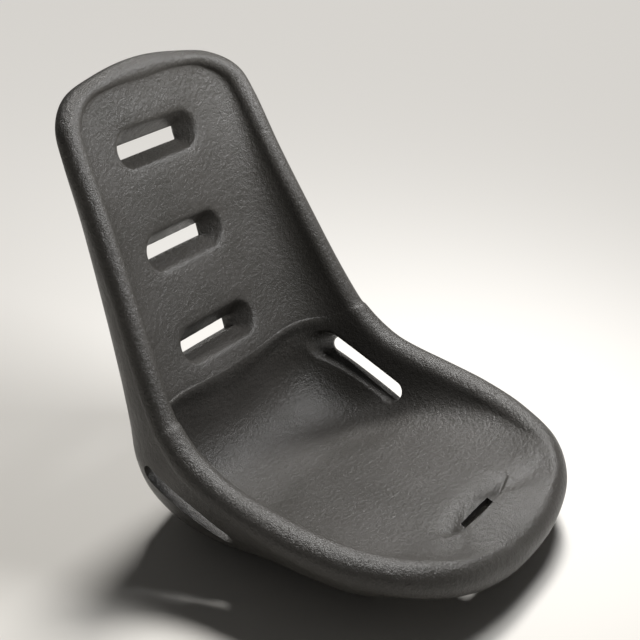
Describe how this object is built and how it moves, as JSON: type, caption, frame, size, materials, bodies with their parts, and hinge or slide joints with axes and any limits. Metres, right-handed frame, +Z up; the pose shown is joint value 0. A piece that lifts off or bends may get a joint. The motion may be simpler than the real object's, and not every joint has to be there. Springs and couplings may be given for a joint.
{
  "type": "racing seat",
  "caption": "Low-back hollow plastic racing seat with deep side walls, harness slots in the back, sides and pan, and threaded inserts in a flat base.",
  "frame": {"origin": "centre of the overall length and width, on the plane of the flat base", "axes": "+Z up, -Y is the way the sitter faces, +X is the sitter's left"},
  "size_m": [0.4798, 0.628, 0.5936],
  "materials": {
    "moulded_plastic": "satin, fine pebble texture",
    "insert_steel": "zinc plated"
  },
  "bodies": {
    "root": {"seating_skin": "moulded_plastic", "rear_skin": "moulded_plastic", "shoulder_slot_upper": "moulded_plastic", "shoulder_slot_middle": "moulded_plastic", "shoulder_slot_lower": "moulded_plastic", "lap_slot_right": "moulded_plastic", "lap_slot_left": "moulded_plastic", "crotch_slot": "moulded_plastic", "vent_plug_right": "moulded_plastic", "vent_plug_left": "moulded_plastic", "base_insert_rear_right": "insert_steel", "base_insert_rear_left": "insert_steel", "base_insert_front_right": "insert_steel", "base_insert_front_left": "insert_steel"}
  },
  "joints": []
}
